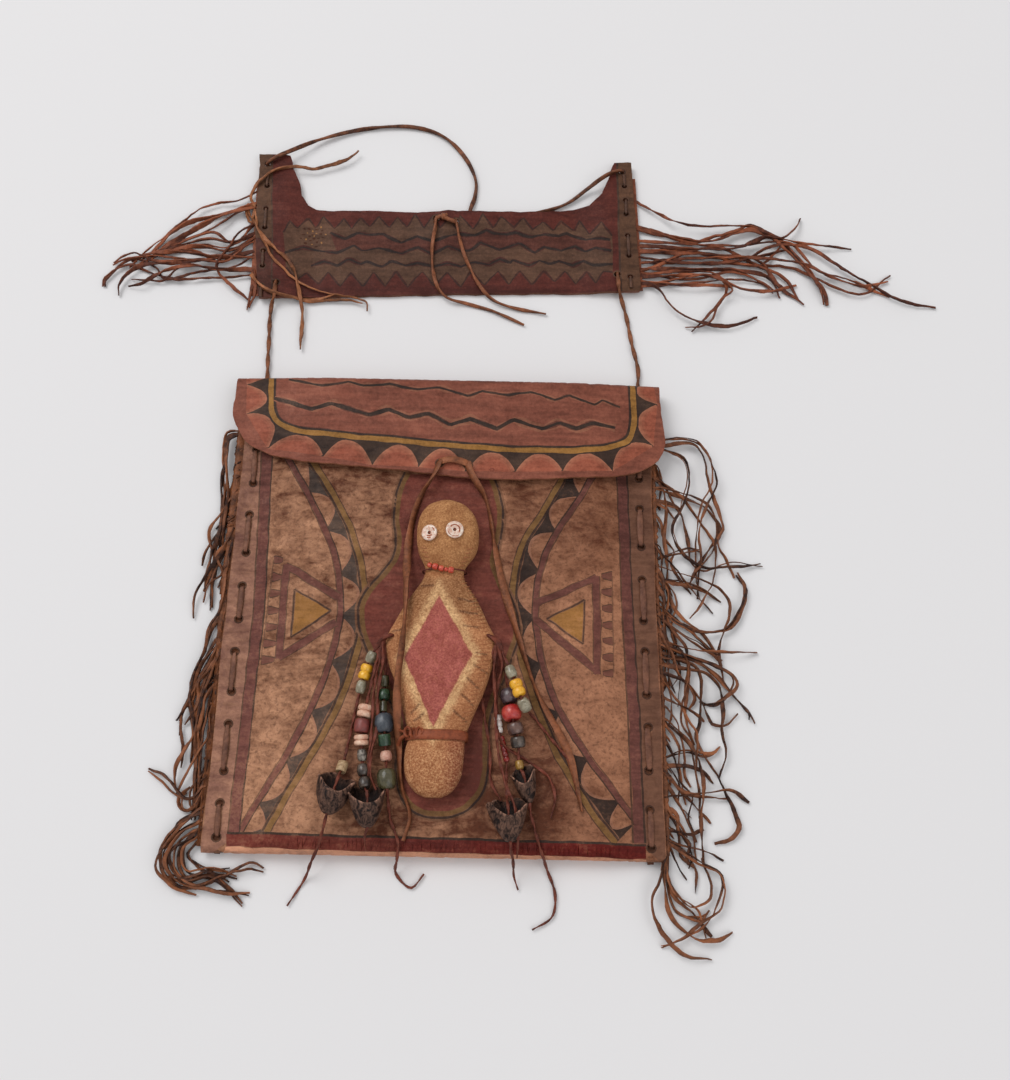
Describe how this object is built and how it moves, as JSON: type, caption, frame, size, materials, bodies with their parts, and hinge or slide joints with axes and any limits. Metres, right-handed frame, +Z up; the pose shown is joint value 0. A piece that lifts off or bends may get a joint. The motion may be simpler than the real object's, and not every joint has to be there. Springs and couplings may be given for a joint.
{
  "type": "parfleche envelope",
  "caption": "Folded rawhide carrying envelope with a hinged painted flap, laced and fringed sides, a horned carrying band on thongs and a stuffed doll with bead and dewclaw strings.",
  "frame": {"origin": "middle of the case's flat back, on the surface it lies on", "axes": "+X to the right of the painted front, +Y toward the flap's fold, +Z up out of the front"},
  "size_m": [0.545, 0.5432, 0.0344],
  "materials": {
    "rawhide": "tan rawhide, satin, painted with earth pigments",
    "flap_hide": "red-brown rawhide, satin, painted with earth pigments",
    "band_hide": "dark red painted rawhide, matte",
    "thong": "brown twisted hide, matte",
    "doll_hide": "soft smoked hide, matte, painted",
    "glass_clear": "cloudy pale glass",
    "glass_yellow": "opaque yellow glass, glossy",
    "glass_cream": "opaque cream and pink glass, satin",
    "glass_red": "opaque dark red glass, glossy",
    "glass_dark": "near-black glass, glossy",
    "glass_green": "dark green glass, glossy",
    "glass_slate": "slate-blue stone, satin",
    "metal": "dull dark metal",
    "shell": "cream shell, satin",
    "horn": "dark horn, satin"
  },
  "bodies": {
    "case": {"case": "rawhide", "carrying_band": "band_hide", "doll": "doll_hide", "side_lacing_left": "thong", "side_lacing_right": "thong", "side_fringe_left": "thong", "side_fringe_right": "thong", "band_lacing_left": "thong", "band_lacing_right": "thong", "band_fringe_left": "thong", "band_fringe_right": "thong", "strap_thong": "thong", "band_tie_thong": "thong", "hanger_thong_left": "thong", "hanger_thong_right": "thong", "doll_belt": "thong", "dangle_cords_left": "thong", "dangle_cords_right": "thong", "clear_bead_left_upper": "glass_clear", "clear_bead_left_lower": "glass_clear", "clear_bead_right_upper": "glass_clear", "clear_bead_right_lower": "glass_clear", "smoke_bead": "glass_clear", "yellow_bead_left": "glass_yellow", "yellow_bead_right": "glass_yellow", "amber_bead": "glass_yellow", "cream_beads_upper": "glass_cream", "cream_beads_lower": "glass_cream", "pink_bead": "glass_cream", "white_seed_beads": "glass_cream", "tan_cube_bead": "glass_cream", "red_barrel_bead": "glass_red", "red_bead": "glass_red", "red_seed_beads": "glass_red", "doll_necklace": "glass_red", "dark_bead_upper": "glass_dark", "dark_bead_lower": "glass_dark", "purple_bead": "glass_dark", "brown_bead": "glass_dark", "dark_bead_right": "glass_dark", "green_bead": "glass_green", "green_tube_bead": "glass_green", "olive_bead": "glass_green", "olive_large_bead": "glass_green", "slate_bead": "glass_slate", "metal_bead": "metal", "doll_eye_left": "shell", "doll_eye_right": "shell", "dewclaw_left_outer": "horn", "dewclaw_left_inner": "horn", "dewclaw_right_upper": "horn", "dewclaw_right_lower": "horn"},
    "flap": {"flap": "flap_hide", "flap_tie_thong": "thong"}
  },
  "joints": [
    {"name": "flap_fold", "type": "hinge", "parent": "case", "child": "flap", "pos_m": [0, 0.1431, 0.0049], "axis": [-1, 0, 0], "range_deg": [0, 95]}
  ]
}
